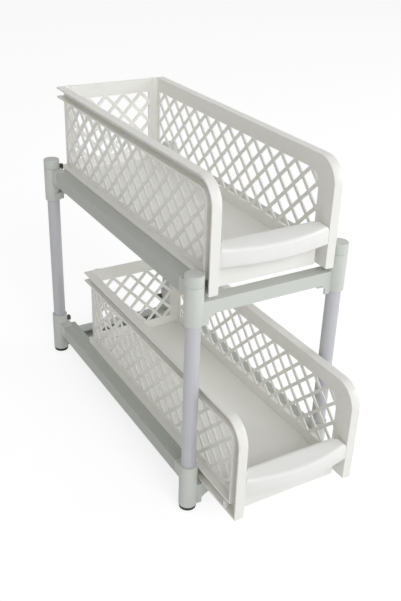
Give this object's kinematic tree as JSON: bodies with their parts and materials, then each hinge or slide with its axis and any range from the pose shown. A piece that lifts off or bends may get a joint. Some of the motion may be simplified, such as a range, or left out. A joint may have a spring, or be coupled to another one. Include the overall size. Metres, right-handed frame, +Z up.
{
  "type": "under sink organizer",
  "caption": "Tall narrow cabinet organizer: lattice-walled baskets with bowed handles slide out along rails held between tubular corner posts.",
  "frame": {"origin": "on the floor, under the middle of the whole object as it stands at rest with the lower basket partly pulled out", "axes": "+X to the right seen from the front, +Y from the front to the back, +Z up; the baskets slide out along -Y"},
  "size_m": [0.1922, 0.4672, 0.3747],
  "materials": {
    "steel_tube": "smooth silver-grey coat",
    "frame_plastic": "fine satin moulding, pale grey",
    "white_plastic": "semi-gloss white moulding",
    "black_rubber": "matt black"
  },
  "bodies": {
    "frame": {"post_front_left": "steel_tube", "cap_front_left": "frame_plastic", "foot_front_left": "black_rubber", "post_front_right": "steel_tube", "cap_front_right": "frame_plastic", "foot_front_right": "black_rubber", "post_rear_left": "steel_tube", "cap_rear_left": "frame_plastic", "foot_rear_left": "black_rubber", "post_rear_right": "steel_tube", "cap_rear_right": "frame_plastic", "foot_rear_right": "black_rubber", "lower_corner_front_left": "frame_plastic", "lower_corner_front_right": "frame_plastic", "lower_bar_front": "frame_plastic", "lower_corner_rear_left": "frame_plastic", "lower_corner_rear_right": "frame_plastic", "lower_bar_rear": "frame_plastic", "lower_rail_left": "frame_plastic", "lower_bumper_left": "black_rubber", "lower_rail_right": "frame_plastic", "lower_bumper_right": "black_rubber", "upper_corner_front_left": "frame_plastic", "upper_corner_front_right": "frame_plastic", "upper_bar_front": "frame_plastic", "upper_corner_rear_left": "frame_plastic", "upper_corner_rear_right": "frame_plastic", "upper_bar_rear": "frame_plastic", "upper_rail_left": "frame_plastic", "upper_bumper_left": "black_rubber", "upper_rail_right": "frame_plastic", "upper_bumper_right": "black_rubber"},
    "upper_basket": {"upper_basket_side_left": "white_plastic", "upper_basket_side_right": "white_plastic", "upper_basket_back": "white_plastic", "upper_basket_base": "white_plastic", "upper_basket_handle": "white_plastic"},
    "lower_basket": {"lower_basket_side_left": "white_plastic", "lower_basket_side_right": "white_plastic", "lower_basket_back": "white_plastic", "lower_basket_base": "white_plastic", "lower_basket_handle": "white_plastic"}
  },
  "joints": [
    {"name": "upper_basket_slide", "type": "slide", "parent": "frame", "child": "upper_basket", "axis": [0, -1, 0], "range_m": [0, 0.25]},
    {"name": "lower_basket_slide", "type": "slide", "parent": "frame", "child": "lower_basket", "axis": [0, -1, 0], "range_m": [-0.068, 0.182]}
  ]
}
